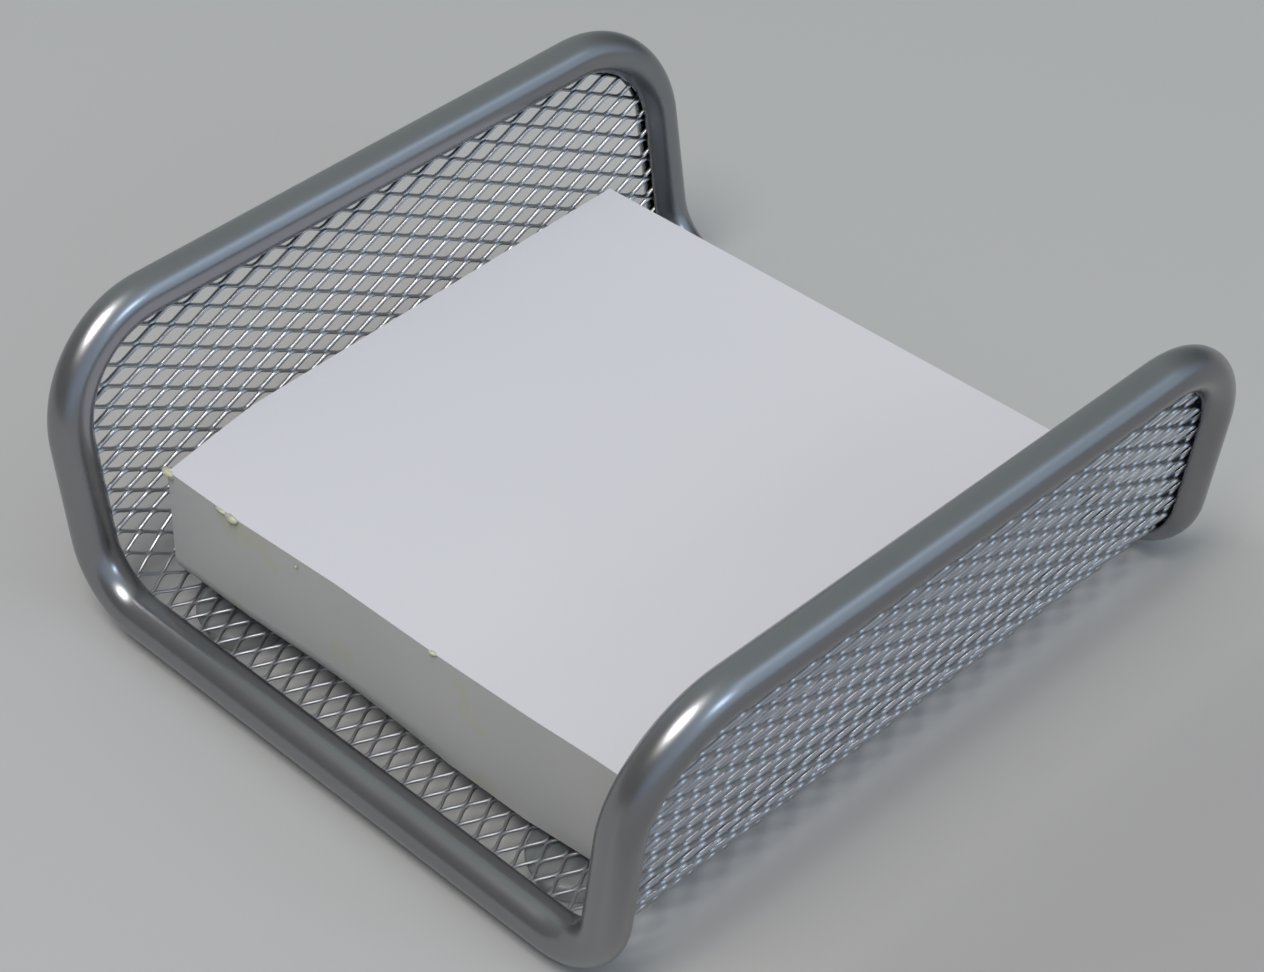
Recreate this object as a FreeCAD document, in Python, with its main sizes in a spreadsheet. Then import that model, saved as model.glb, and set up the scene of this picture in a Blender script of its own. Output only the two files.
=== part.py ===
"""Mesh note holder: a folded tray of expanded metal, open at the front and the back, with its
raw edge held in one closed loop of slit steel tube, four clear feet under it and a block of
note paper in it.

Frame: millimetres, +Z up, origin in the middle of the footprint at the level of the table.
+X is to the right, the side that the paper is taken from faces -Y."""
import FreeCAD, Part
import math
import os
import Sketcher
from FreeCAD import Placement, Rotation, Vector

doc = FreeCAD.newDocument("mesh_note_holder")

# Driving dimensions, in millimetres and degrees. The tray is made to hold a standard paper, so
# its own width and depth follow from the paper and the room around it.
DRIVING = [
    ("paper_width", 90.0, "note paper, left to right"),
    ("paper_length", 90.0, "note paper, front to back"),
    ("paper_stack", 18.5, "height of the block of paper"),
    ("side_room", 4.0, "from centred paper to the middle of a wall's tube, at floor level"),
    ("end_room", 11.5, "from centred paper to the middle of the front or back bar"),
    ("wall_rise", 40.0, "from the floor bars up to the top bars"),
    ("wall_lean_angle", 8.0, "each wall leans out from upright by this many degrees"),
    ("fold_radius", 10.0, "fold between floor and wall, the same in tube and mesh"),
    ("top_radius", 16.0, "round top corners of each wall"),
    ("tube_diameter", 6.3, "outside of the rim tube"),
    ("tube_wall", 0.7, "thickness of the tube's own wall"),
    ("slot_play", 0.1, "room on each side of the mesh in the tube's slot"),
    ("mesh_thickness", 1.2, "expanded sheet, over its raised strands"),
    ("gap_length", 22.6, "pitch of the diamond gaps along the depth"),
    ("gap_height", 13.2, "pitch of the diamond gaps across the sheet"),
    ("strand_width", 2.3, "metal left between two gaps"),
    ("edge_band", 0.6, "unbroken metal beside the tube"),
    ("smallest_gap_share", 0.2, "a gap cut short by the rim to less of a whole one is left out"),
    ("tube_to_table", 1.0, "air under the floor bars"),
    ("foot_diameter", 14.0, "widest part of a clear foot, at its top"),
    ("foot_taper", 0.8, "how much smaller the foot's radius is at the table"),
    ("foot_round", 0.7, "rounding of the foot's lower edge"),
    ("foot_from_side", 16.0, "foot centre, inward from the wall's fold corner"),
    ("foot_from_end", 12.0, "foot centre, inward from the front or back bar"),
    ("paper_play", 0.1, "air between the paper and the mesh it lies on"),
    ("paper_shift_x", -2.2, "block's centre from the tray's centre, to the right"),
    ("paper_shift_y", -1.7, "block's centre from the tray's centre, to the back"),
    ("paper_turn_angle", 1.3, "block lies turned by this many degrees, seen from above"),
    ("glue_film", 0.4, "thickness of the padding glue on the block's front"),
]

# Sizes that the sheet works out, between centre lines of the tube.
DERIVED = [
    ("tray_width", "=paper_width + 2 * side_room", "at floor level, before the folds are rounded"),
    ("tray_depth", "=paper_length + 2 * end_room", "from the front bar to the back bar"),
]

sheet = doc.addObject("Spreadsheet::Sheet", "Sizes")
for row, (alias, value, meaning) in enumerate(DRIVING + DERIVED, start=1):
    sheet.set("A%d" % row, alias)
    sheet.set("B%d" % row, str(value))
    sheet.set("C%d" % row, meaning)
    sheet.setAlias("B%d" % row, alias)
doc.recompute()


def size(alias):
    """The number that the sheet holds under this alias."""
    return float(sheet.get(alias))


# Values worked out once from the driving dimensions.
lean = math.radians(size("wall_lean_angle"))
fold_angle = math.pi / 2 - lean
fold_run = size("fold_radius") * math.tan(fold_angle / 2)
wall_length = size("wall_rise") / math.cos(lean)
tube_radius = size("tube_diameter") / 2
floor_level = size("tube_to_table") + tube_radius
mesh_top = floor_level + size("mesh_thickness") / 2
mesh_underside = floor_level - size("mesh_thickness") / 2
half_width = size("tray_width") / 2
half_depth = size("tray_depth") / 2
half_flat = half_width - fold_run
fold_length = size("fold_radius") * fold_angle
half_sheet = half_flat + fold_length + wall_length - fold_run
fold_centre_height = floor_level + size("fold_radius")
up_wall = Vector(math.sin(lean), 0, math.cos(lean))


def add_feature(name, shape):
    """A document object that holds a shape worked out here from the sheet's values."""
    feature = doc.addObject("Part::Feature", name)
    feature.Shape = shape
    return feature


def on_sheet(across):
    """Point and inward normal of the tray's middle surface in the plane Y = 0, at a distance
    along the sheet from the floor's centre line. Negative distances are on the left."""
    side = 1 if across >= 0 else -1
    run = abs(across)
    if run <= half_flat:
        return Vector(side * run, 0, floor_level), Vector(0, 0, 1)
    if run <= half_flat + fold_length:
        turn = (run - half_flat) / size("fold_radius")
        normal = Vector(-side * math.sin(turn), 0, math.cos(turn))
        centre = Vector(side * half_flat, 0, fold_centre_height)
        return centre - normal * size("fold_radius"), normal
    rise = run - half_flat - fold_length + fold_run
    point = Vector(side * half_width, 0, floor_level)
    point += Vector(side * up_wall.x, 0, up_wall.z) * rise
    return point, Vector(-side * up_wall.z, 0, up_wall.x)


def tray_line(inward):
    """Edges of the tray's section from the left top to the right top, moved inward from the
    middle surface: two leaning lines and a level one, joined by the two arcs of the folds."""
    stops = [-half_sheet, -half_flat - fold_length, -half_flat - fold_length / 2, -half_flat]
    stops += [-stop for stop in reversed(stops)]
    points = []
    for stop in stops:
        point, normal = on_sheet(stop)
        points.append(point + normal * inward)
    edges = [Part.makeLine(points[0], points[1])]
    edges.append(Part.Arc(points[1], points[2], points[3]).toShape())
    edges.append(Part.makeLine(points[3], points[4]))
    edges.append(Part.Arc(points[4], points[5], points[6]).toShape())
    edges.append(Part.makeLine(points[6], points[7]))
    return edges, points[0], points[-1]


def closed_face(edges):
    """Flat face inside a closed ring of edges."""
    return Part.Face(Part.Wire(Part.__sortEdges__(edges)))


def extrude_through_tray(name, face):
    """Solid that runs the whole depth of the tray, front bar to back bar, with this section."""
    base = add_feature(name + "_section", face)
    base.Placement = Placement(Vector(0, -half_depth, 0), Rotation())
    body = doc.addObject("Part::Extrusion", name)
    body.Base = base
    body.Dir = Vector(0, 1, 0)
    body.DirMode = "Custom"
    body.Solid = True
    body.setExpression("LengthFwd", "Sizes.tray_depth")
    return body


# Rim: a slit tube, bent into one closed loop. A quarter of it is swept and mirrored twice.
def rim_quarter_path():
    """Centre line of a quarter of the rim: half the front bar, the lower bend, the front right
    post, the top bend and half the right top bar, each run tangent to the next."""
    fold_start = Vector(half_flat, -half_depth, floor_level)
    fold_middle = on_sheet(half_flat + fold_length / 2)[0] + Vector(0, -half_depth, 0)
    fold_end = on_sheet(half_flat + fold_length)[0] + Vector(0, -half_depth, 0)
    top_corner = Vector(half_width, -half_depth, floor_level) + up_wall * wall_length
    radius = size("top_radius")
    centre = top_corner - up_wall * radius + Vector(0, radius, 0)
    post_end = top_corner - up_wall * radius
    bar_start = top_corner + Vector(0, radius, 0)
    outward = (up_wall - Vector(0, 1, 0)) / math.sqrt(2)
    edges = [Part.makeLine(Vector(0, -half_depth, floor_level), fold_start)]
    edges.append(Part.Arc(fold_start, fold_middle, fold_end).toShape())
    edges.append(Part.makeLine(fold_end, post_end))
    edges.append(Part.Arc(post_end, centre + outward * radius, bar_start).toShape())
    edges.append(Part.makeLine(bar_start, Vector(top_corner.x, 0, top_corner.z)))
    return Part.Wire(edges)


def slit_tube_sketch():
    """Ring with a slot towards its own +X, which is the side that the mesh goes in at."""
    sketch = doc.addObject("Sketcher::SketchObject", "tube_section")
    inner = tube_radius - size("tube_wall")
    half_slot = size("mesh_thickness") / 2 + size("slot_play")
    origin = Vector(0, 0, 0)
    axis = Vector(0, 0, 1)
    out_angle = math.asin(half_slot / tube_radius)
    in_angle = math.asin(half_slot / inner)
    outer_arc = Part.ArcOfCircle(Part.Circle(origin, axis, tube_radius), out_angle,
                                 2 * math.pi - out_angle)
    inner_arc = Part.ArcOfCircle(Part.Circle(origin, axis, inner), in_angle,
                                 2 * math.pi - in_angle)
    out_x = tube_radius * math.cos(out_angle)
    in_x = inner * math.cos(in_angle)
    upper = Part.LineSegment(Vector(in_x, half_slot, 0), Vector(out_x, half_slot, 0))
    lower = Part.LineSegment(Vector(in_x, -half_slot, 0), Vector(out_x, -half_slot, 0))
    for piece in (outer_arc, inner_arc, upper, lower):
        sketch.addGeometry(piece, False)
    add = sketch.addConstraint
    add(Sketcher.Constraint("Coincident", 0, 3, -1, 1))
    add(Sketcher.Constraint("Coincident", 1, 3, -1, 1))
    add(Sketcher.Constraint("Coincident", 0, 1, 2, 2))
    add(Sketcher.Constraint("Coincident", 1, 1, 2, 1))
    add(Sketcher.Constraint("Coincident", 0, 2, 3, 2))
    add(Sketcher.Constraint("Coincident", 1, 2, 3, 1))
    add(Sketcher.Constraint("Horizontal", 2))
    add(Sketcher.Constraint("Horizontal", 3))
    radius = add(Sketcher.Constraint("Radius", 0, tube_radius))
    bore = add(Sketcher.Constraint("Radius", 1, inner))
    above = add(Sketcher.Constraint("DistanceY", -1, 1, 2, 1, half_slot))
    below = add(Sketcher.Constraint("DistanceY", 3, 1, -1, 1, half_slot))
    slot_rule = "Sizes.mesh_thickness / 2 + Sizes.slot_play"
    sketch.setExpression("Constraints[%d]" % radius, "Sizes.tube_diameter / 2")
    sketch.setExpression("Constraints[%d]" % bore, "Sizes.tube_diameter / 2 - Sizes.tube_wall")
    sketch.setExpression("Constraints[%d]" % above, slot_rule)
    sketch.setExpression("Constraints[%d]" % below, slot_rule)
    # The sketch's X, Y and Z run along the row's Y, Z and X.
    sketch.Placement = Placement(Vector(0, -half_depth, floor_level),
                                 Rotation(Vector(1, 1, 1), 120))
    sketch.setExpression("Placement.Base.y", "-Sizes.tray_depth / 2")
    sketch.setExpression("Placement.Base.z", "Sizes.tube_to_table + Sizes.tube_diameter / 2")
    return sketch


def build_rim():
    """Sweep the slit section along the quarter path, mirror it twice and join the four."""
    path = add_feature("rim_path", rim_quarter_path())
    section = slit_tube_sketch()
    doc.recompute()
    sweep = doc.addObject("Part::Sweep", "rim_quarter")
    sweep.Sections = [section]
    sweep.Spine = (path, ["Edge%d" % (i + 1) for i in range(len(path.Shape.Edges))])
    sweep.Solid = True
    sweep.Frenet = False
    left = doc.addObject("Part::Mirroring", "rim_quarter_left")
    left.Source = sweep
    left.Normal = Vector(1, 0, 0)
    front = doc.addObject("Part::MultiFuse", "rim_front")
    front.Shapes = [sweep, left]
    back = doc.addObject("Part::Mirroring", "rim_back")
    back.Source = front
    back.Normal = Vector(0, 1, 0)
    rim = doc.addObject("Part::MultiFuse", "rim_tube")
    rim.Shapes = [front, back]
    return rim


# Tray: one sheet of expanded metal, folded twice, its edge in the middle of the tube.
def top_corner_waste():
    """What a square top corner of a wall has outside its rounding, for all four corners: the
    square of the radius less the quarter circle, as thick as the tube."""
    radius = size("top_radius")
    reach = Vector(up_wall.z, 0, -up_wall.x) * tube_radius
    spare = tube_radius
    pieces = []
    for side in (1, -1):
        for end in (1, -1):
            rise = Vector(side * up_wall.x, 0, up_wall.z)
            along = Vector(0, end, 0)
            through = Vector(side * reach.x, 0, reach.z)
            corner = Vector(side * half_width, end * half_depth, floor_level) + rise * wall_length
            centre = corner - rise * radius - along * radius
            start = centre + rise * radius
            stop = centre + along * radius
            middle = centre + (rise + along) * (radius / math.sqrt(2))
            outside = [start, start + rise * spare, corner + (rise + along) * spare,
                       stop + along * spare, stop]
            edges = [Part.makeLine(a, b) for a, b in zip(outside, outside[1:])]
            edges.append(Part.Arc(stop, middle, start).toShape())
            face = closed_face(edges)
            face.translate(through * -1)
            pieces.append(face.extrude(through * 2))
    return Part.makeCompound(pieces)


def cut_off(outline, normal, limit):
    """What is left of a flat outline on the near side of the line where a point's product with
    the unit normal is the limit. Points are (across, along) pairs on the unrolled sheet."""
    kept = []
    for here, after in zip(outline, outline[1:] + outline[:1]):
        past = normal[0] * here[0] + normal[1] * here[1] - limit
        next_past = normal[0] * after[0] + normal[1] * after[1] - limit
        if past <= 0:
            kept.append(here)
        if past * next_past < 0:
            part = past / (past - next_past)
            kept.append((here[0] + (after[0] - here[0]) * part,
                         here[1] + (after[1] - here[1]) * part))
    return kept


def inside_rim(outline):
    """The part of a gap that keeps clear of the tube. The sheet's clear field is a rectangle with
    round corners, and the twelve lines that bound it here touch it all round at equal turns."""
    margin = tube_radius + size("edge_band")
    corner_across = half_sheet - size("top_radius")
    corner_along = half_depth - size("top_radius")
    for turn in range(0, 360, 30):
        normal = (math.cos(math.radians(turn)), math.sin(math.radians(turn)))
        limit = corner_across * abs(normal[0]) + corner_along * abs(normal[1])
        outline = cut_off(outline, normal, limit + size("top_radius") - margin)
    return outline


def area_of(outline):
    """Area inside a flat outline, from the products of its neighbouring points."""
    pairs = zip(outline, outline[1:] + outline[:1])
    return abs(sum(a[0] * b[1] - b[0] * a[1] for a, b in pairs)) / 2


def diamond_gaps():
    """Staggered diamond holes, long way front to back, each cut along the sheet's own normal.
    The side of a diamond is moved in by half a strand, which shrinks both its diagonals. A gap
    that meets the rim is cut short there, and one that would be only a sliver is left out."""
    long_pitch = size("gap_length")
    tall_pitch = size("gap_height")
    side = math.hypot(long_pitch, tall_pitch) / 2
    between = long_pitch * tall_pitch / 2 / side
    share = 1 - size("strand_width") / between
    half_long = long_pitch / 2 * share
    half_tall = tall_pitch / 2 * share
    cut_depth = size("mesh_thickness") * 1.5
    rows = int(half_sheet / (tall_pitch / 2)) + 1
    columns = int(half_depth / long_pitch) + 1
    gaps = []
    for row in range(-rows, rows + 1):
        across = row * tall_pitch / 2
        point, normal = on_sheet(across)
        crosswise = normal.cross(Vector(0, 1, 0)) * -1
        for column in range(-columns, columns + 1):
            along = (column + (row % 2) / 2) * long_pitch
            diamond = [(across + half_tall, along), (across, along + half_long),
                       (across - half_tall, along), (across, along - half_long)]
            outline = inside_rim(diamond)
            least = area_of(diamond) * size("smallest_gap_share")
            if len(outline) < 3 or area_of(outline) < least:
                continue
            tips = [point + crosswise * (at[0] - across) + Vector(0, at[1], 0) - normal * cut_depth
                    for at in outline]
            face = Part.Face(Part.makePolygon(tips + tips[:1]))
            gaps.append(face.extrude(normal * cut_depth * 2))
    print("diamond gaps:", len(gaps))
    return Part.makeCompound(gaps)


def build_tray():
    """Bend the sheet as one section, then take off the corners and cut the gaps."""
    half_thick = size("mesh_thickness") / 2
    upper, upper_left, upper_right = tray_line(half_thick)
    lower, lower_left, lower_right = tray_line(-half_thick)
    ends = [Part.makeLine(upper_left, lower_left), Part.makeLine(upper_right, lower_right)]
    bent = extrude_through_tray("bent_sheet", closed_face(upper + lower + ends))
    corners = add_feature("corner_waste", top_corner_waste())
    rounded = doc.addObject("Part::Cut", "rounded_sheet")
    rounded.Base = bent
    rounded.Tool = corners
    gaps = add_feature("gaps", diamond_gaps())
    tray = doc.addObject("Part::Cut", "mesh_tray")
    tray.Base = rounded
    tray.Tool = gaps
    return tray


# Feet: clear bumpers stuck under the floor mesh, near its four corners.
def build_foot(name, side, end):
    """A short cone, wider at the top, with its lower edge rounded."""
    cone = doc.addObject("Part::Cone", name + "_cone")
    cone.setExpression("Radius1", "Sizes.foot_diameter / 2 - Sizes.foot_taper")
    cone.setExpression("Radius2", "Sizes.foot_diameter / 2")
    tall = "Sizes.tube_to_table + Sizes.tube_diameter / 2 - Sizes.mesh_thickness / 2"
    cone.setExpression("Height", tall)
    sign_x = "" if side > 0 else "-"
    sign_y = "" if end > 0 else "-"
    cone.setExpression("Placement.Base.x",
                       sign_x + "(Sizes.tray_width / 2 - Sizes.foot_from_side)")
    cone.setExpression("Placement.Base.y",
                       sign_y + "(Sizes.tray_depth / 2 - Sizes.foot_from_end)")
    doc.recompute()
    lowest = [i + 1 for i, edge in enumerate(cone.Shape.Edges)
              if edge.BoundBox.ZMax < mesh_underside / 2 and len(edge.Vertexes) == 1]
    foot = doc.addObject("Part::Fillet", name)
    foot.Base = cone
    foot.Edges = [(i, size("foot_round"), size("foot_round")) for i in lowest]
    return foot


# Note paper: a square block, glued along its front, lying on the floor mesh. Its lowest sheets
# are pushed in by the folds, so the block keeps inside the tray's hollow.
def paper_placement():
    """Where the block's own corner goes, so that it turns about its own middle."""
    turn = Rotation(Vector(0, 0, 1), size("paper_turn_angle"))
    half = Vector(size("paper_width") / 2, size("paper_length") / 2, 0)
    middle = Vector(size("paper_shift_x"), size("paper_shift_y"), mesh_top + size("paper_play"))
    return Placement(middle - turn.multVec(half), turn)


def tray_hollow(name):
    """The room inside the tray, a little clear of the mesh and open at the top."""
    edges, left, right = tray_line(size("mesh_thickness") / 2 + size("paper_play"))
    edges.append(Part.makeLine(left, right))
    return extrude_through_tray(name, closed_face(edges))


def build_block():
    """A box of paper, less what lies outside the tray's hollow."""
    box = doc.addObject("Part::Box", "paper_box")
    box.Placement = paper_placement()
    box.setExpression("Length", "Sizes.paper_width")
    box.setExpression("Width", "Sizes.paper_length")
    box.setExpression("Height", "Sizes.paper_stack")
    block = doc.addObject("Part::Common", "note_block")
    block.Base = box
    block.Tool = tray_hollow("paper_room")
    return block


def build_glue():
    """A film over the whole front side of the block, where the sheets are held together."""
    film = doc.addObject("Part::Box", "glue_box")
    place = paper_placement()
    shift = place.Rotation.multVec(Vector(0, -size("glue_film"), 0))
    film.Placement = Placement(place.Base + shift, place.Rotation)
    film.setExpression("Length", "Sizes.paper_width")
    film.setExpression("Width", "Sizes.glue_film")
    film.setExpression("Height", "Sizes.paper_stack")
    glue = doc.addObject("Part::Common", "glue_binding")
    glue.Base = film
    glue.Tool = tray_hollow("glue_room")
    return glue


nodes = [build_rim(), build_tray()]
for end_name, end in (("front", -1), ("back", 1)):
    for side_name, side in (("left", -1), ("right", 1)):
        nodes.append(build_foot("foot_%s_%s" % (end_name, side_name), side, end))
nodes += [build_block(), build_glue()]
doc.recompute()

for item in doc.Objects:
    if "Invalid" in item.State or "Error" in item.State:
        raise RuntimeError("%s did not build: %s" % (item.Name, item.State))
for node in nodes:
    node.Label = node.Name
    shape = node.Shape
    if shape.isNull() or not shape.isValid() or len(shape.Solids) != 1:
        raise RuntimeError("%s is not one valid solid" % node.Name)

os.makedirs("parts", exist_ok=True)
for node in nodes:
    node.Shape.exportStep(os.path.join("parts", node.Label + ".step"))
    box = node.Shape.BoundBox
    print("%-18s %9.1f mm3  x %.1f..%.1f  y %.1f..%.1f  z %.2f..%.2f" % (
        node.Label, node.Shape.Volume, box.XMin, box.XMax, box.YMin, box.YMax, box.ZMin, box.ZMax))
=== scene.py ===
"""Looks of the mesh note holder: a folded tray of silver expanded metal in a bent tube rim, on
clear feet, with a block of white note paper. Sizes are in millimetres until a mesh is made."""

import bpy
import numpy as np
from mathutils import Matrix


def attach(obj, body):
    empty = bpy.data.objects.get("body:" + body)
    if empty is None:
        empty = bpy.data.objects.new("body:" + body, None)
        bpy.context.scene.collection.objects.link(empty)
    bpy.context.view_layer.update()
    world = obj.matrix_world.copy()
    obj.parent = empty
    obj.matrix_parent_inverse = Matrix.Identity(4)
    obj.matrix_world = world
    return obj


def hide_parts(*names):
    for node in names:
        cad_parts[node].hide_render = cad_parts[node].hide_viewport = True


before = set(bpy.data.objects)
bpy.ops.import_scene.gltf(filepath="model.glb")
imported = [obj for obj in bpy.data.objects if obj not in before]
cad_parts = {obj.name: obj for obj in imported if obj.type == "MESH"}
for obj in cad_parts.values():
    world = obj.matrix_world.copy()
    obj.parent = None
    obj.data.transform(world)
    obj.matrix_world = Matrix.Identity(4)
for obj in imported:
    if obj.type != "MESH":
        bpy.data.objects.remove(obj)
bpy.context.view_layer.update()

# Expanded steel sheet.
# One sheet, slit and stretched so that its strands stand at a slant, then folded into a floor and
# two walls that lean out. It is sprayed with silver paint, and its edge lies in the rim tube.
HALF_SHEET = 86.3     # from the floor's centre line to the edge in the top bar, over the fold
HALF_DEPTH = 56.5     # from the middle to the front or back bar's centre line
HALF_FLAT = 40.31     # where the fold starts
FOLD_RADIUS = 10.0
FOLD_ANGLE = np.radians(82.0)
FOLD_LENGTH = FOLD_RADIUS * FOLD_ANGLE
FLOOR_LEVEL = 4.15    # middle of the sheet above the table
CORNER_RADIUS = 16.0
LONG_PITCH = 6.2      # from one opening to the next, front to back
SHORT_PITCH = 3.46    # the same, across the sheet
WALL_STRAND = 0.60    # width of the strands in the walls
FLOOR_STRAND = 0.45   # and in the floor
STRAND_THICKNESS = 0.33
STRAND_EDGE = 0.11    # paint rounds the strands' edges
WALL_TILT = np.radians(54.0)     # how steeply the strands stand in the walls
FLOOR_TILT = np.radians(-20.0)   # and in the floor, which is pressed flatter, the other way
CHANGE_BEFORE = 4.0   # slant and width change from this far before the fold's start
CHANGE_AFTER = 12.0   # to this far past it
BOND_HALF_LENGTH = 0.34
BEND_SHARE = 0.022    # half a strand's bend at the end of a bond, as a share of the long pitch
SEAM_OVERLAP = 0.05   # bonded strands reach this far past the seam between them
END_GAP = 0.4         # the strands end this far short of the sheet's outline, inside the tube
STEEPER = 0.1         # how much steeper a strand climbs between bonds than a straight one
WALLS_FROM = 45.0     # from the floor's centre line to where the walls' pieces begin
TINY = 1e-6


def on_folded_sheet(across, lift):
    """X, Z and the inward normal's X and Z at a distance across the sheet from the floor's
    centre line. The sheet is level to the start of the fold, turns through the fold's arc about
    an axis one fold radius above, and runs straight up the leaning wall. The point is then
    lifted along the normal."""
    side = np.where(across < 0, -1.0, 1.0)
    run = np.abs(across)
    turn = np.clip((run - HALF_FLAT) / FOLD_RADIUS, 0, FOLD_ANGLE)
    beyond = np.maximum(run - HALF_FLAT - FOLD_LENGTH, 0)
    x = np.minimum(run, HALF_FLAT) + FOLD_RADIUS * np.sin(turn) + beyond * np.cos(FOLD_ANGLE)
    z = FLOOR_LEVEL + FOLD_RADIUS * (1 - np.cos(turn)) + beyond * np.sin(FOLD_ANGLE)
    normal_x = -np.sin(turn) * side
    normal_z = np.cos(turn)
    return x * side + normal_x * lift, z + normal_z * lift, normal_x, normal_z


def half_length_at(across):
    """Half the sheet's length at a distance across it: the whole half depth, less the rise of
    the corner's circle where the distance is beyond the corner's centre."""
    past = np.clip(np.abs(across) - (HALF_SHEET - CORNER_RADIUS), 0, CORNER_RADIUS)
    return HALF_DEPTH - CORNER_RADIUS + np.sqrt(CORNER_RADIUS ** 2 - past ** 2)


def put_into_mesh(name, points, faces, smooth):
    """A mesh object at the origin from points in millimetres and faces of four corners each."""
    mesh = bpy.data.meshes.new(name)
    used, renumbered = np.unique(faces, return_inverse=True)
    corners = renumbered.reshape(faces.shape)
    mesh.vertices.add(len(used))
    mesh.vertices.foreach_set("co", (points[used] * 0.001).astype(np.float32).ravel())
    mesh.loops.add(corners.size)
    mesh.loops.foreach_set("vertex_index", corners.astype(np.int32).ravel())
    mesh.polygons.add(len(corners))
    mesh.polygons.foreach_set("loop_start", np.arange(0, corners.size, 4, dtype=np.int32))
    mesh.polygons.foreach_set("use_smooth", np.full(len(corners), smooth))
    mesh.update(calc_edges=True)
    mesh.validate()
    piece = bpy.data.objects.new(name, mesh)
    bpy.context.scene.collection.objects.link(piece)
    return piece


def strand_wave(phase):
    """A wave of period 1 that is 1 along the bond at phase 0 and -1 along the bond at phase
    one half, and swings between them a little steeper in the middle than at the bonds."""
    triangle = 1 - 4 * np.abs(phase - np.round(phase))
    bond_share = 4 * BOND_HALF_LENGTH / LONG_PITCH
    share = np.clip(triangle / (1 - bond_share), -1, 1)
    return share * (1 + STEEPER - STEEPER * share ** 2)


# Every strand is one ribbon that runs front to back in a wave, bonded in turn to the ribbon on
# each side of it. It stands on a slant, and bends square to its broad face. Where two ribbons
# meet, they lie edge to edge in one slanted plate.
half_rows = int(HALF_SHEET / (SHORT_PITCH / 2))
rows = np.arange(-half_rows, half_rows + 1)
bend = BOND_HALF_LENGTH / LONG_PITCH
quarter = np.array([bend - BEND_SHARE, bend + BEND_SHARE, (bend + BEND_SHARE + 0.25) / 2])
in_period = np.concatenate([[0], quarter, [0.25], 0.5 - quarter[::-1], [0.5], 0.5 + quarter,
                            [0.75], 1 - quarter[::-1]])
half_periods = int(HALF_DEPTH / LONG_PITCH) + 1
periods = np.arange(-half_periods, half_periods)
stations = (periods[:, None] + in_period[None, :]).ravel() * LONG_PITCH
middle = (rows - 0.5) * SHORT_PITCH / 2
reach = half_length_at(middle) - END_GAP
along = np.clip(stations[None, :], -reach[:, None], reach[:, None])
phase = along / LONG_PITCH + (rows % 2)[:, None] * 0.5
wave = strand_wave(phase)
floor_to_wall = [HALF_FLAT - CHANGE_BEFORE, HALF_FLAT + CHANGE_AFTER]
tilt = np.interp(np.abs(middle), floor_to_wall, [FLOOR_TILT, WALL_TILT])[:, None]
strand_width = np.interp(np.abs(middle), floor_to_wall, [FLOOR_STRAND, WALL_STRAND])[:, None]
swing = SHORT_PITCH / 4 - strand_width / 2 * np.cos(tilt)
strand_across = middle[:, None] + wave * swing
strand_lift = -wave * strand_width / 2 * np.sin(tilt)
half_wide = strand_width[..., None] / 2 + SEAM_OVERLAP
half_thick = STRAND_THICKNESS / 2
wide_side = np.array([1, 1, 1, -1, -1, -1, -1, 1])
on_face = np.array([0, 0, 1, 1, 0, 0, 1, 1])
corner_w = wide_side * (half_wide - STRAND_EDGE * on_face)
thick_side = np.array([-1, 1, 1, 1, 1, -1, -1, -1])
corner_t = thick_side * (half_thick - STRAND_EDGE * (1 - on_face))
nudge = 0.01
climb = (strand_wave(phase + nudge) - strand_wave(phase - nudge)) / (2 * nudge * LONG_PITCH)
face_slope = np.arctan(-climb * np.sin(tilt) * SHORT_PITCH / 4)[..., None]
lean_cos = np.cos(tilt)[..., None]
lean_sin = np.sin(tilt)[..., None]
offset_across = corner_w * lean_cos - corner_t * lean_sin * np.cos(face_slope)
offset_lift = corner_w * lean_sin + corner_t * lean_cos * np.cos(face_slope)
ring_across = strand_across[..., None] + offset_across
ring_lift = strand_lift[..., None] + offset_lift
ring_x, ring_z, _, _ = on_folded_sheet(ring_across, ring_lift)
ring_y = along[..., None] - corner_t * np.sin(face_slope)
points = np.stack([ring_x, ring_y, ring_z], axis=-1)
number = np.arange(ring_x.size).reshape(ring_x.shape)
first = number[:, :-1]
second = number[:, 1:]
sides = np.stack([first, second, np.roll(second, -1, axis=2), np.roll(first, -1, axis=2)], axis=-1)
has_length = (along[:, 1:] - along[:, :-1]) > TINY
starts = np.argmax(has_length, axis=1)
ends = has_length.shape[1] - np.argmax(has_length[:, ::-1], axis=1)
every = np.arange(len(rows))
start_ring = number[every, starts]
end_ring = number[every, ends][:, ::-1]
cap_corners = np.array([[0, 1, 6, 7], [1, 2, 5, 6], [2, 3, 4, 5]])
mesh_parts = []
for part_name, chosen in (
        ("left_wall", middle < -WALLS_FROM), ("left_floor", (middle >= -WALLS_FROM) & (middle <= 0)),
        ("right_floor", (middle > 0) & (middle < WALLS_FROM)), ("right_wall", middle > WALLS_FROM)):
    part_sides = sides[chosen][has_length[chosen]].reshape(-1, 4)
    part_caps = np.concatenate([start_ring[chosen][:, cap_corners].reshape(-1, 4),
                                end_ring[chosen][:, cap_corners].reshape(-1, 4)])
    mesh_part = put_into_mesh("expanded_mesh_" + part_name, points.reshape(-1, 3),
                              np.concatenate([part_sides, part_caps]), True)
    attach(mesh_part, "root")
    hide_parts("mesh_tray")
    mesh_parts.append(mesh_part)


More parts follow.
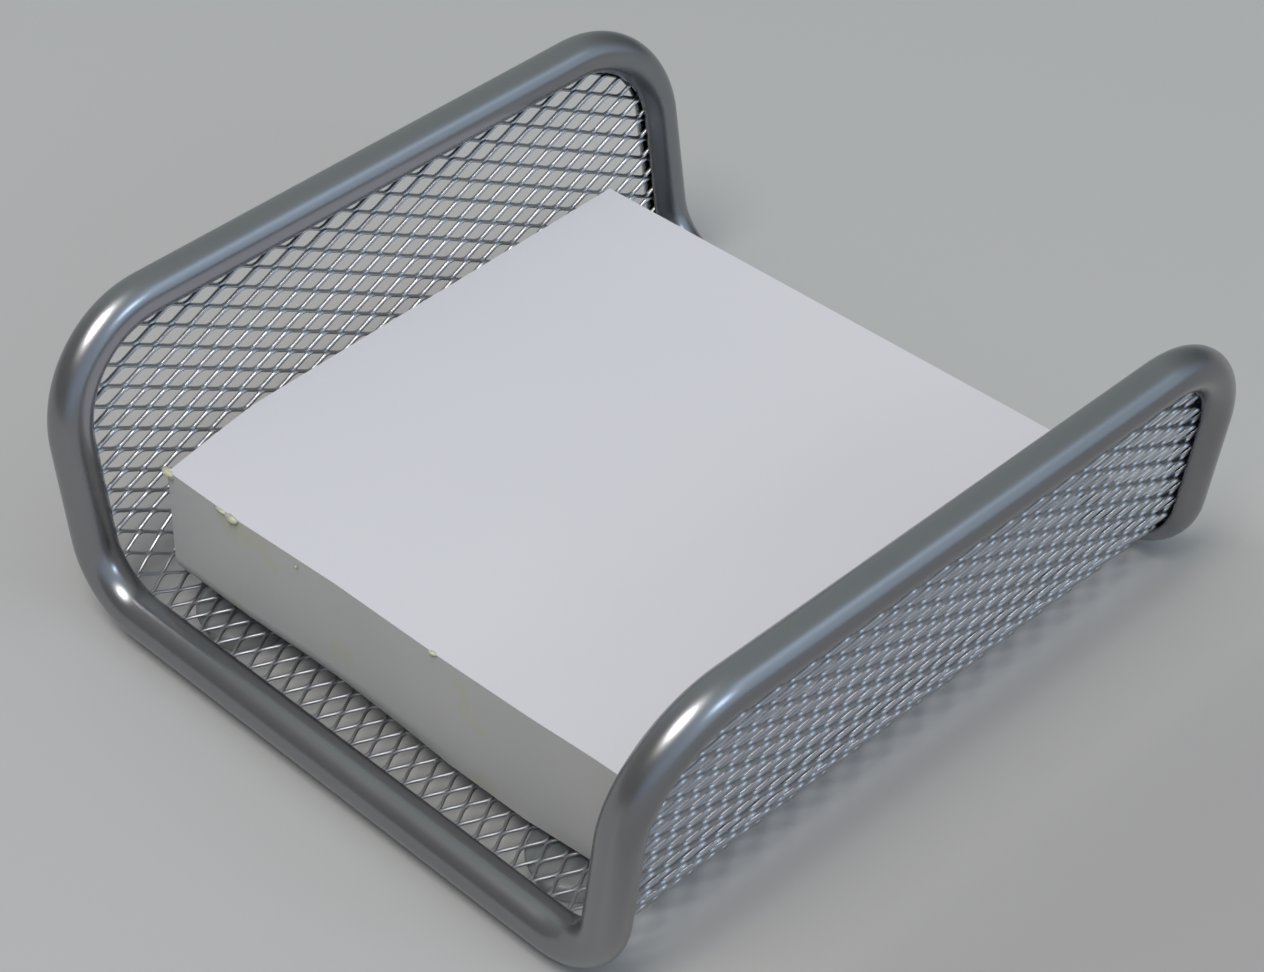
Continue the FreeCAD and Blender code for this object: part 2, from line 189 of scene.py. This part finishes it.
class Shade:
    """One output of a node, so that shader maths reads as sums and products of shades."""

    def __init__(self, tree, output=None):
        self.tree = tree
        self.output = output

    def node(self, kind, settings, inputs, output=0):
        """Any node: its settings are set first, ramp stops among them, then its sockets, by
        name or number, get a value or another shade's link."""
        made = self.tree.nodes.new(kind)
        for key, value in settings.items():
            if key == "stops":
                ramp = made.color_ramp
                ramp.elements[0].position, ramp.elements[0].color = value[0]
                ramp.elements[-1].position, ramp.elements[-1].color = value[-1]
                for place, colour in value[1:-1]:
                    ramp.elements.new(place).color = colour
            else:
                setattr(made, key, value)
        for key, value in inputs.items():
            if isinstance(value, Shade):
                self.tree.links.new(value.output, made.inputs[key])
            else:
                made.inputs[key].default_value = value
        return Shade(self.tree, made.outputs[output])

    def maths(self, operation, first, second):
        return self.node("ShaderNodeMath", {"operation": operation}, {0: first, 1: second})

    def __add__(self, other):
        return self.maths("ADD", self, other)

    def __radd__(self, other):
        return self.maths("ADD", other, self)

    def __sub__(self, other):
        return self.maths("SUBTRACT", self, other)

    def __rsub__(self, other):
        return self.maths("SUBTRACT", other, self)

    def __mul__(self, other):
        return self.maths("MULTIPLY", self, other)

    def __rmul__(self, other):
        return self.maths("MULTIPLY", other, self)

    def __gt__(self, other):
        return self.maths("GREATER_THAN", self, other)

    def __lt__(self, other):
        return self.maths("LESS_THAN", self, other)


def new_finish(name, settings):
    """A material with one Principled shader, whose constant sockets are set here. Returns the
    material, the start of its shades and its shader."""
    material = bpy.data.materials.new(name)
    material.use_nodes = True
    shader = material.node_tree.nodes["Principled BSDF"]
    for socket, value in settings.items():
        shader.inputs[socket].default_value = value
    return material, Shade(material.node_tree), shader


def feed(shade, shader, socket):
    """Links a shade to one of the shader's sockets."""
    shade.tree.links.new(shade.output, shader.inputs[socket])


silver_mesh, start, shader = new_finish("silver_mesh_paint", {
    "Metallic": 1.0, "Specular Tint": (1.0, 1.0, 1.0, 1)})
place = start.node("ShaderNodeTexCoord", {}, {}, "Object")
cloud = start.node("ShaderNodeTexNoise", {}, {"Vector": place, "Scale": 240.0, "Detail": 3.0})
tint = start.node("ShaderNodeMix", {"data_type": "RGBA"}, {
    0: cloud, 6: (0.36, 0.363, 0.375, 1), 7: (0.47, 0.475, 0.49, 1)}, 2)
feed(tint, shader, "Base Color")
feed(0.31 + cloud * 0.07, shader, "Roughness")
for mesh_part in mesh_parts:
    mesh_part.data.materials.append(silver_mesh)

# Rim tube.
# Steel tube with a slot along its inner side, bent into one closed loop. The raw edge of the
# sheet is pushed into the slot and the tube is closed on it, then it is painted silver.
TUBE_RADIUS = 3.15
BORE_RADIUS = 2.45
HALF_SLOT = 0.7
RIM_STEP = 1.2        # between two rings of points on the straight runs
BEND_FINENESS = 1.5   # the rings in the bends lie closer by this
OUTSIDE_POINTS = 49
BORE_POINTS = 25


def rim_outline(step):
    """Points of the sheet's outline and the directions into the sheet there, all on the
    unrolled sheet: a rectangle with quarter circles at its corners, gone round in even steps
    along each run and in closer ones round each corner."""
    long_run = HALF_SHEET - CORNER_RADIUS
    end_run = HALF_DEPTH - CORNER_RADIUS
    corners = [(1, -1, -np.pi / 2), (1, 1, 0), (-1, 1, np.pi / 2), (-1, -1, np.pi)]
    places = []
    inward = []
    for index, (side, end, start_angle) in enumerate(corners):
        turn = np.linspace(start_angle, start_angle + np.pi / 2,
                           int(CORNER_RADIUS * np.pi / 2 / step * BEND_FINENESS))
        circle = np.stack([np.cos(turn), np.sin(turn)], axis=1)
        centre = np.array([side * long_run, end * end_run])
        places.append(centre + circle * CORNER_RADIUS)
        inward.append(-circle)
        next_side, next_end, _ = corners[(index + 1) % 4]
        leave = places[-1][-1]
        arrive = np.array([next_side * long_run, next_end * end_run]) + circle[-1] * CORNER_RADIUS
        share = np.arange(1, int(np.hypot(*(arrive - leave)) / step)) * step
        share = share / (share[-1] + step)
        places.append(leave + (arrive - leave) * share[:, None])
        inward.append(np.repeat(-circle[-1:], len(share), axis=0))
    return np.concatenate(places), np.concatenate(inward)


def slit_ring():
    """The tube's section as pairs of numbers, towards the sheet and along its normal: the outer
    circle from one lip of the slot round to the other, then the bore's circle back."""
    outer = np.arcsin(HALF_SLOT / TUBE_RADIUS)
    inner = np.arcsin(HALF_SLOT / BORE_RADIUS)
    out_turn = np.linspace(outer, 2 * np.pi - outer, OUTSIDE_POINTS)
    in_turn = np.linspace(2 * np.pi - inner, inner, BORE_POINTS)
    return np.concatenate([
        np.stack([np.cos(out_turn), np.sin(out_turn)], axis=1) * TUBE_RADIUS,
        np.stack([np.cos(in_turn), np.sin(in_turn)], axis=1) * BORE_RADIUS])


places, inward = rim_outline(RIM_STEP)
centre_x, centre_z, normal_x, normal_z = on_folded_sheet(places[:, 0], np.zeros(len(places)))
centre = np.stack([centre_x, places[:, 1], centre_z], axis=1)
normal = np.stack([normal_x, np.zeros(len(places)), normal_z], axis=1)
crosswise = np.stack([normal_z, np.zeros(len(places)), -normal_x], axis=1)
into_sheet = crosswise * inward[:, :1] + np.array([0, 1.0, 0]) * inward[:, 1:]
ring = slit_ring()
tube_points = (centre[:, None] + ring[None, :, :1] * into_sheet[:, None]
               + ring[None, :, 1:] * normal[:, None])


def closed_skin(rings):
    """Faces of a surface whose rows and columns both close on themselves."""
    number = np.arange(rings.shape[0] * rings.shape[1]).reshape(rings.shape[:2])
    after = np.roll(number, -1, axis=0)
    return np.stack([number, np.roll(number, -1, axis=1), np.roll(after, -1, axis=1), after],
                    axis=-1).reshape(-1, 4)


rim = put_into_mesh("bent_rim_tube", tube_points.reshape(-1, 3), closed_skin(tube_points), True)
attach(rim, "root")
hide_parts("rim_tube")

silver_tube, start, shader = new_finish("silver_tube_paint", {
    "Metallic": 1.0, "Specular Tint": (1.0, 1.0, 1.0, 1)})
place = start.node("ShaderNodeTexCoord", {}, {}, "Object")
cloud = start.node("ShaderNodeTexNoise", {}, {"Vector": place, "Scale": 60.0, "Detail": 2.0})
flake = start.node("ShaderNodeTexNoise", {}, {"Vector": place, "Scale": 6000.0, "Detail": 1.0})
tint = start.node("ShaderNodeMix", {"data_type": "RGBA"}, {
    0: cloud, 6: (0.28, 0.285, 0.295, 1), 7: (0.31, 0.315, 0.325, 1)}, 2)
feed(tint, shader, "Base Color")
feed(0.23 + cloud * 0.06, shader, "Roughness")
grain = start.node("ShaderNodeBump", {}, {"Strength": 0.05, "Distance": 0.00005, "Height": flake})
feed(grain, shader, "Normal")
rim.data.materials.append(silver_tube)

# Clear feet.
# Round bumpers of clear soft plastic, stuck under the floor mesh near its corners. They are a
# little wider at the top, and their lower edge is rounded.
FOOT_TOP = 3.55
FOOT_EDGE = 0.7       # radius of the rounded lower edge
FOOT_SPREAD_X = 33.0  # from the tray's middle to a foot's axis, sideways
FOOT_SPREAD_Y = 44.5  # and front to back
FOOT_SEGMENTS = 64
AXIS_RING = 0.01      # radius of the small ring round the axis that a cap closes


def pole_cap(ring):
    """Faces that close a ring of an even count of points: each face joins two neighbours on one
    side of the ring to the two that lie opposite."""
    near = np.arange(len(ring) // 2 - 1)
    return np.stack([ring[near], ring[near + 1], ring[-2 - near], ring[-1 - near]], axis=-1)


def turned_skin(profile, segments, centre):
    """Points and faces of a profile of radius and height turned about an upright axis. The
    profile starts and ends close to the axis, where a cap closes each pole."""
    turn = np.arange(segments) * 2 * np.pi / segments
    radius = profile[:, :1]
    x = centre[0] + radius * np.cos(turn)
    y = centre[1] + radius * np.sin(turn)
    z = np.repeat(profile[:, 1:], segments, axis=1)
    number = np.arange(x.size).reshape(x.shape)
    after = np.roll(number, -1, axis=1)
    walls = np.stack([number[:-1], after[:-1], after[1:], number[1:]], axis=-1).reshape(-1, 4)
    faces = np.concatenate([walls, pole_cap(number[0][::-1]), pole_cap(number[-1])])
    return np.stack([x, y, z], axis=-1).reshape(-1, 3), faces


# Radius and height of each point of a foot's side, from the middle of its underside to the middle
# of its top.
edge_turn = np.linspace(0, np.pi / 2, 8)
foot_profile = np.concatenate([
    [[AXIS_RING, 0.0], [2.5, 0.0]],
    np.stack([5.5 + FOOT_EDGE * np.sin(edge_turn), FOOT_EDGE - FOOT_EDGE * np.cos(edge_turn)], axis=1),
    [[6.6, 1.9], [6.95, 3.3], [6.8, FOOT_TOP], [3.5, FOOT_TOP], [AXIS_RING, FOOT_TOP]]])
clear_plastic, start, shader = new_finish("clear_foot_plastic", {
    "Roughness": 0.12, "IOR": 1.47, "Specular IOR Level": 0.7})
place = start.node("ShaderNodeTexCoord", {}, {}, "Object")
cloud = start.node("ShaderNodeTexNoise", {}, {"Vector": place, "Scale": 160.0, "Detail": 2.0})
tint = start.node("ShaderNodeMix", {"data_type": "RGBA"}, {
    0: cloud, 6: (0.16, 0.19, 0.20, 1), 7: (0.24, 0.27, 0.28, 1)}, 2)
feed(tint, shader, "Base Color")
skin_share = start.node("ShaderNodeLayerWeight", {}, {"Blend": 0.35}, "Facing")
feed(0.16 + skin_share * 0.75, shader, "Alpha")
for end_name, end in (("front", -1), ("back", 1)):
    for side_name, side in (("left", -1), ("right", 1)):
        foot_points, foot_faces = turned_skin(
            foot_profile, FOOT_SEGMENTS, (side * FOOT_SPREAD_X, end * FOOT_SPREAD_Y))
        name = "foot_%s_%s" % (end_name, side_name)
        foot = put_into_mesh("clear_" + name, foot_points, foot_faces, True)
        foot.data.materials.append(clear_plastic)
        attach(foot, "root")
        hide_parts(name)

# Note paper.
# A stack of loose white sheets, 90 mm square, laid on the floor mesh a little turned. Its front
# left corner is pushed in, its lowest sheets lie back at the front, and the folds press them in.
PAPER_HALF = 45.0
PAPER_BOTTOM = 4.85
PAPER_TOP = 23.35
PAPER_CENTRE = np.array([-2.2, -1.7])
PAPER_TURN = np.radians(1.3)
MESH_CLEARANCE = 0.7  # from the middle of the mesh to the paper in the folds
CORNER_PUSH = 2.5
PUSH_START = -27.0    # the left edge comes in from here to the front
PUSH_LENGTH = 18.0
LOW_SHEETS = 8.0      # sheets below this height lie back at the front
SHEET_LEVELS = 75
SHEET_STEP = 0.02     # how far one sheet may slip from the next
SHEET_JITTER = 0.025
MOST_DRIFT = 0.12     # how far a sheet's edge stands out or lies back
FRONT_DRIFT = 0.2     # the glued front keeps this share of it
SIDE_POINTS = 45
EDGE_SHARPNESS = 40   # a side's drift starts within a fortieth of its end
FLAT_RINGS = 24       # rings of points from the outline to the middle, over top and underside
LEAST_SHRINK = 0.0005


def room_half_width(height):
    """Half the room inside the tray at a height: the floor's flat half, plus the run there of a
    circle with the fold's centre that lies clear of the mesh. Above the centre it stays at the
    circle's radius, which is inside the leaning wall."""
    inner = FOLD_RADIUS - MESH_CLEARANCE
    below = np.clip(FLOOR_LEVEL + FOLD_RADIUS - height, 0, inner)
    return HALF_FLAT + np.sqrt(inner ** 2 - below ** 2)


def paper_to_tray(across, along, height):
    """The worn stack's points from those of a true block. The front edge waves a little, the
    lowest sheets lie back there by the square of their depth, and the left edge comes in towards
    the front corner. Then the block is turned, moved and held inside the tray's room."""
    frontness = np.clip(-along / PAPER_HALF, 0, 1)
    wave = np.interp(across, [-45, -29, -9, 12, 27, 38, 45], [0.1, -0.15, 0.3, 0.05, 0.2, 0.6, 0.6])
    set_back = np.interp(across, [-45, -17, 3, 12, 26, 38, 45], [1.5, 1.5, 0.8, 0.3, 0, 0.35, 0.4])
    depth = np.clip((LOW_SHEETS - height) / (LOW_SHEETS - PAPER_BOTTOM), 0, 1)
    worn_along = along + wave * frontness ** 4 + set_back * depth ** 2 * frontness ** 12
    corner_share = np.clip((PUSH_START - along) / PUSH_LENGTH, 0, 1) ** 1.1
    push = corner_share * np.clip(-across / PAPER_HALF, 0, 1) ** 2
    worn_across = across + push * CORNER_PUSH
    x = PAPER_CENTRE[0] + worn_across * np.cos(PAPER_TURN) - worn_along * np.sin(PAPER_TURN)
    y = PAPER_CENTRE[1] + worn_across * np.sin(PAPER_TURN) + worn_along * np.cos(PAPER_TURN)
    room = room_half_width(height)
    return np.stack([np.clip(x, -room, room), y, height], axis=-1)


seeded = np.random.default_rng(7)
levels = np.linspace(PAPER_BOTTOM, PAPER_TOP, SHEET_LEVELS)
drift = np.cumsum(seeded.normal(0, SHEET_STEP, (len(levels), 4)), axis=0)
drift = drift - drift.mean(axis=0) + seeded.normal(0, SHEET_JITTER, (len(levels), 4))
drift = np.clip(drift, -MOST_DRIFT, MOST_DRIFT)
drift[:, 0] *= FRONT_DRIFT
side_steps = np.linspace(-1, 1, SIDE_POINTS + 1)[:-1]
turn_corner = np.ones_like(side_steps)
outline_u = np.concatenate([side_steps, turn_corner, -side_steps, -turn_corner]) * PAPER_HALF
outline_v = np.concatenate([-turn_corner, side_steps, turn_corner, -side_steps]) * PAPER_HALF
front_share = np.clip(-outline_v / PAPER_HALF * EDGE_SHARPNESS - EDGE_SHARPNESS + 1, 0, 1)
right_share = np.clip(outline_u / PAPER_HALF * EDGE_SHARPNESS - EDGE_SHARPNESS + 1, 0, 1)
back_share = np.clip(outline_v / PAPER_HALF * EDGE_SHARPNESS - EDGE_SHARPNESS + 1, 0, 1)
left_share = np.clip(-outline_u / PAPER_HALF * EDGE_SHARPNESS - EDGE_SHARPNESS + 1, 0, 1)
out_u = drift[:, 1:2] * right_share - drift[:, 3:4] * left_share
out_v = drift[:, 2:3] * back_share - drift[:, 0:1] * front_share
wall_height = np.repeat(levels[:, None], len(outline_u), axis=1)
wall = paper_to_tray(outline_u + out_u, outline_v + out_v, wall_height)
shrink = np.linspace(1, LEAST_SHRINK, FLAT_RINGS)[1:, None]
top = paper_to_tray(outline_u * shrink, outline_v * shrink,
                    np.full((len(shrink), len(outline_u)), PAPER_TOP))
bottom = paper_to_tray(outline_u * shrink[::-1], outline_v * shrink[::-1],
                       np.full((len(shrink), len(outline_u)), PAPER_BOTTOM))
paper_points = np.concatenate([bottom, wall, top])
number = np.arange(paper_points.shape[0] * paper_points.shape[1]).reshape(paper_points.shape[:2])
after = np.roll(number, -1, axis=1)
paper_skin = np.stack([number[:-1], after[:-1], after[1:], number[1:]], axis=-1).reshape(-1, 4)
paper_faces = np.concatenate([paper_skin, pole_cap(number[0][::-1]), pole_cap(number[-1])])
paper = put_into_mesh("paper_stack", paper_points.reshape(-1, 3), paper_faces, False)
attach(paper, "root")
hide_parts("note_block")

white_paper, start, shader = new_finish("white_paper", {"Roughness": 0.85})
place = start.node("ShaderNodeTexCoord", {}, {}, "Object")
cloud = start.node("ShaderNodeTexNoise", {}, {"Vector": place, "Scale": 18.0, "Detail": 3.0})
tint = start.node("ShaderNodeMix", {"data_type": "RGBA"}, {
    0: cloud, 6: (0.57, 0.565, 0.60, 1), 7: (0.61, 0.60, 0.625, 1)}, 2)
# Painted shade: fine darker lines on the stack's sides, below its top sheet, stand for the shade in
# the gaps between sheets.
flattened = start.node("ShaderNodeVectorMath", {"operation": "MULTIPLY"}, {
    0: place, 1: (20.0, 20.0, 6000.0)})
under_top = start.node("ShaderNodeSeparateXYZ", {}, {0: place}, 2)
painted_gap_lines = start.node("ShaderNodeTexNoise", {}, {"Vector": flattened, "Scale": 1.0, "Detail": 1.0})
with_painted_gap_shade = start.node("ShaderNodeMix", {"data_type": "RGBA", "blend_type": "MULTIPLY"}, {
    0: (painted_gap_lines > 0.52) * (0.0233 > under_top) * 0.30, 6: tint, 7: (0.72, 0.72, 0.73, 1)}, 2)
feed(with_painted_gap_shade, shader, "Base Color")
fibre = start.node("ShaderNodeTexNoise", {}, {"Vector": place, "Scale": 1800.0, "Detail": 4.0})
tooth = start.node("ShaderNodeBump", {}, {"Strength": 0.15, "Distance": 0.00005, "Height": fibre})
feed(tooth, shader, "Normal")
paper.data.materials.append(white_paper)

# Padding glue.
# A thin film of glue brushed over the front of the stack, which holds the sheets together as a
# pad. It has dried grey and smooth, with a few yellowed rags on its top edge.
FILM_AT_FOOT = 0.4    # its thickness at the lowest sheet
FILM_AT_TOP = 0.06    # and at the top one
FILM_BACK = 0.02      # its back stands this far off the paper
FILM_LEVELS = 25
FILM_ROUND = 2 * FILM_LEVELS
FILM_COLUMNS = 91
film_u = np.linspace(-PAPER_HALF, PAPER_HALF, FILM_COLUMNS)
film_z = np.linspace(PAPER_BOTTOM, PAPER_TOP, FILM_LEVELS)
film_front = np.interp(film_z, [PAPER_BOTTOM, PAPER_TOP], [FILM_AT_FOOT, FILM_AT_TOP])
skin_out = np.concatenate([film_front, np.full(FILM_LEVELS, FILM_BACK)])
skin_z = np.concatenate([film_z, film_z[::-1]])
# Two slow waves multiplied make the film up to a twentieth thicker or thinner along its length.
ripple = 0.05 * np.sin(film_u * 0.9) * np.sin(film_u * 0.37 + 1.0)
film_points = paper_to_tray(
    np.repeat(film_u[:, None], FILM_ROUND, axis=1),
    -PAPER_HALF - skin_out * (1 + ripple[:, None]), np.repeat(skin_z[None], len(film_u), axis=0))
number = np.arange(len(film_u) * FILM_ROUND).reshape(-1, FILM_ROUND)
film_after = np.roll(number, -1, axis=1)
skin = np.stack([number[:-1], number[1:], film_after[1:], film_after[:-1]], axis=-1).reshape(-1, 4)
film_faces = np.concatenate([skin, pole_cap(number[0]), pole_cap(number[-1][::-1])])
film = put_into_mesh("glue_film", film_points.reshape(-1, 3), film_faces, False)
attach(film, "root")
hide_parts("glue_binding")
grey_glue, start, shader = new_finish("grey_glue", {"Roughness": 0.6})
place = start.node("ShaderNodeTexCoord", {}, {}, "Object")
cloud = start.node("ShaderNodeTexNoise", {}, {"Vector": place, "Scale": 60.0, "Detail": 3.0})
tint = start.node("ShaderNodeMix", {"data_type": "RGBA"}, {
    0: cloud, 6: (0.44, 0.44, 0.435, 1), 7: (0.50, 0.50, 0.485, 1)}, 2)
stain = start.node("ShaderNodeTexNoise", {}, {"Vector": place, "Scale": 110.0, "Detail": 2.0})
stained = start.node("ShaderNodeMix", {"data_type": "RGBA"}, {
    0: (stain > 0.62) * 0.35, 6: tint, 7: (0.47, 0.47, 0.33, 1)}, 2)
feed(stained, shader, "Base Color")
brushed = start.node("ShaderNodeTexNoise", {}, {"Vector": place, "Scale": 500.0, "Detail": 3.0})
waves = start.node("ShaderNodeBump", {}, {"Strength": 0.2, "Distance": 0.0001, "Height": brushed})
feed(waves, shader, "Normal")
film.data.materials.append(grey_glue)

LUMP_RINGS = 7
LUMP_SEGMENTS = 10
POLE_TURN = 0.01      # angle between a pole and the first ring of points, which a cap closes


def rag_of_glue(middle, size, seed):
    """A small torn lump: a globe of points whose radii vary at random, squeezed to a length,
    a thickness and a height."""
    chance = np.random.default_rng(seed)
    polar = np.linspace(POLE_TURN, np.pi - POLE_TURN, LUMP_RINGS)[:, None]
    around = np.arange(LUMP_SEGMENTS) * 2 * np.pi / LUMP_SEGMENTS
    rough = chance.uniform(0.65, 1.1, (LUMP_RINGS, LUMP_SEGMENTS))
    u = middle[0] + rough * size[0] * np.sin(polar) * np.cos(around)
    v = middle[1] + rough * size[1] * np.sin(polar) * np.sin(around)
    z = middle[2] - rough * size[2] * np.cos(polar)
    return paper_to_tray(u, v, z)


# Middle, half sizes and seed of each rag: two on the left corner, two beside it, then one near the
# middle and a crumb.
rags = np.stack([
    rag_of_glue((-44.9, -44.9, 22.9), (1.6, 0.9, 0.6), 1),
    rag_of_glue((-44.5, -45.1, 22.6), (0.9, 0.35, 0.6), 2),
    rag_of_glue((-30.0, -45.2, 22.95), (1.6, 0.5, 0.8), 3),
    rag_of_glue((-32.5, -45.15, 23.15), (1.5, 0.3, 0.3), 6),
    rag_of_glue((9.8, -45.1, 23.3), (0.9, 0.4, 0.3), 4),
    rag_of_glue((-16.5, -45.4, 22.2), (0.25, 0.2, 0.25), 5)])
number = np.arange(rags[..., 0].size).reshape(rags.shape[:3])
rag_after = np.roll(number, -1, axis=2)
rag_skin = np.stack([number[:, :-1], rag_after[:, :-1], rag_after[:, 1:], number[:, 1:]], axis=-1)
rag_caps = [pole_cap(ring) for ring in [*number[:, 0, ::-1], *number[:, -1]]]
rag_faces = np.concatenate([rag_skin.reshape(-1, 4), *rag_caps])
rag_mesh = put_into_mesh("glue_rags", rags.reshape(-1, 3), rag_faces, True)
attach(rag_mesh, "root")
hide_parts("glue_binding")
yellowed_glue, start, shader = new_finish("yellowed_glue", {"Roughness": 0.5})
place = start.node("ShaderNodeTexCoord", {}, {}, "Object")
cloud = start.node("ShaderNodeTexNoise", {}, {"Vector": place, "Scale": 900.0, "Detail": 2.0})
tint = start.node("ShaderNodeMix", {"data_type": "RGBA"}, {
    0: cloud, 6: (0.42, 0.42, 0.29, 1), 7: (0.62, 0.62, 0.47, 1)}, 2)
feed(tint, shader, "Base Color")
rag_mesh.data.materials.append(yellowed_glue)

# Table, light and camera.
# A pale plain table, paler beside the tray by painted light and greyer to the right by painted
# shade, soft white lamps overhead, a small bluish window behind on the right with a fainter one
# beside it, a plain room, and a camera at the photograph's place. All of this is in metres.
TABLE_HALF = 3.0
floor_mesh = bpy.data.meshes.new("table_top")
floor_mesh.from_pydata([(-TABLE_HALF, -TABLE_HALF, 0), (TABLE_HALF, -TABLE_HALF, 0),
                        (TABLE_HALF, TABLE_HALF, 0), (-TABLE_HALF, TABLE_HALF, 0)],
                       [], [(0, 1, 2, 3)])
table_top = bpy.data.objects.new("table_top", floor_mesh)
bpy.context.scene.collection.objects.link(table_top)
pale_table, start, shader = new_finish("pale_table", {
    "Roughness": 0.7, "Specular IOR Level": 0.2})
place = start.node("ShaderNodeTexCoord", {}, {}, "Object")
PAINTED_LIGHT_FROM = 0.045    # the table's painted light and shade start here, beside the tray, and run to the right
PAINTED_LIGHT_LENGTH = 0.05
rightwards = start.node("ShaderNodeSeparateXYZ", {}, {0: place}, 0)
# Painted light and shade: the table is paler in a band just right of the tray, where its shadow falls,
# and greyer further right, as if in shade.
table_painted_light_and_shade = start.node("ShaderNodeValToRGB", {"stops": [
    (0.0, (0.43, 0.428, 0.424, 1)), (0.2, (0.495, 0.472, 0.45, 1)), (0.38, (0.415, 0.40, 0.385, 1)),
    (0.55, (0.375, 0.362, 0.355, 1)), (0.75, (0.358, 0.345, 0.34, 1)),
    (1.0, (0.358, 0.345, 0.34, 1))]}, {0: (rightwards - PAINTED_LIGHT_FROM) * (1 / PAINTED_LIGHT_LENGTH)})
feed(table_painted_light_and_shade, shader, "Base Color")
floor_mesh.materials.append(pale_table)

# Name, size, power, colour and place of each lamp, which all face the tray.
for lamp_name, size, energy, colour, place in (
        ("ceiling_lamp", 0.80, 12.6, (1.0, 0.975, 0.955), (0.12, -0.60, 1.48)),
        ("ceiling_glow", 1.60, 4.1, (1.0, 0.975, 0.955), (0.13, -0.62, 1.53)),
        ("window_lamp", 0.36, 2.0, (0.62, 0.80, 1.0), (1.30, 0.32, 0.80)),
        ("window_rest", 0.50, 0.42, (0.62, 0.76, 1.0), (0.94, 0.78, 0.98))):
    lamp_data = bpy.data.lights.new(lamp_name, "AREA")
    lamp_data.shape = "DISK"
    lamp_data.size = size
    lamp_data.energy = energy
    lamp_data.color = colour
    lamp = bpy.data.objects.new(lamp_name, lamp_data)
    lamp.location = place
    lamp.rotation_mode = "QUATERNION"
    lamp.rotation_quaternion = lamp.location.normalized().to_track_quat("Z", "Y")
    bpy.context.scene.collection.objects.link(lamp)

# The room is darker in front of the tray and far behind it, and bluish on the right.
world = bpy.data.worlds.new("plain_room")
world.use_nodes = True
room = Shade(world.node_tree)
direction = room.node("ShaderNodeTexCoord", {}, {}, "Generated")
sideways = room.node("ShaderNodeSeparateXYZ", {}, {0: direction}, 0)
backwards = room.node("ShaderNodeSeparateXYZ", {}, {0: direction}, 1)
depth_tone = room.node("ShaderNodeValToRGB", {"stops": [
    (0.0, (0.21, 0.21, 0.21, 1)), (0.30, (0.31, 0.31, 0.31, 1)), (0.55, (0.44, 0.48, 0.48, 1)),
    (0.82, (0.44, 0.48, 0.48, 1)), (1.0, (0.17, 0.185, 0.19, 1))]}, {0: backwards * 0.5 + 0.5})
side_tone = room.node("ShaderNodeValToRGB", {"stops": [
    (0.0, (0.0, 0.0, 0.0, 1)), (0.60, (0.0, 0.0, 0.0, 1)), (0.85, (0.17, 0.24, 0.36, 1)),
    (1.0, (0.17, 0.24, 0.36, 1))]}, {0: sideways * 0.5 + 0.5})
room_tone = room.node("ShaderNodeMix", {"data_type": "RGBA", "blend_type": "ADD"}, {
    0: 1.0, 6: depth_tone, 7: side_tone}, 2)
room.tree.links.new(room_tone.output, room.tree.nodes["Background"].inputs["Color"])
bpy.context.scene.world = world

IMAGE_WIDTH = 1264
IMAGE_HEIGHT = 972
FOCAL_PIXELS = 3334.291
AXIS_PIXEL = (518.582, 422.34)   # where the lens points, from the picture's upper left corner
SENSOR_WIDTH = 36.0
camera_data = bpy.data.cameras.new("camera")
camera_data.sensor_width = SENSOR_WIDTH
camera_data.lens = FOCAL_PIXELS / IMAGE_WIDTH * SENSOR_WIDTH
camera_data.shift_x = (IMAGE_WIDTH / 2 - AXIS_PIXEL[0]) / IMAGE_WIDTH
camera_data.shift_y = (AXIS_PIXEL[1] - IMAGE_HEIGHT / 2) / IMAGE_WIDTH
camera_data.clip_start = 0.02
camera = bpy.data.objects.new("camera", camera_data)
camera.matrix_world = Matrix((
    (0.690963, -0.445615, 0.569208, 0.245874),
    (0.722614, 0.447561, -0.526800, -0.250017),
    (-0.020006, 0.775317, 0.631255, 0.315216),
    (0, 0, 0, 1)))
bpy.context.scene.collection.objects.link(camera)
bpy.context.scene.camera = camera
bpy.context.scene.view_settings.view_transform = "Standard"
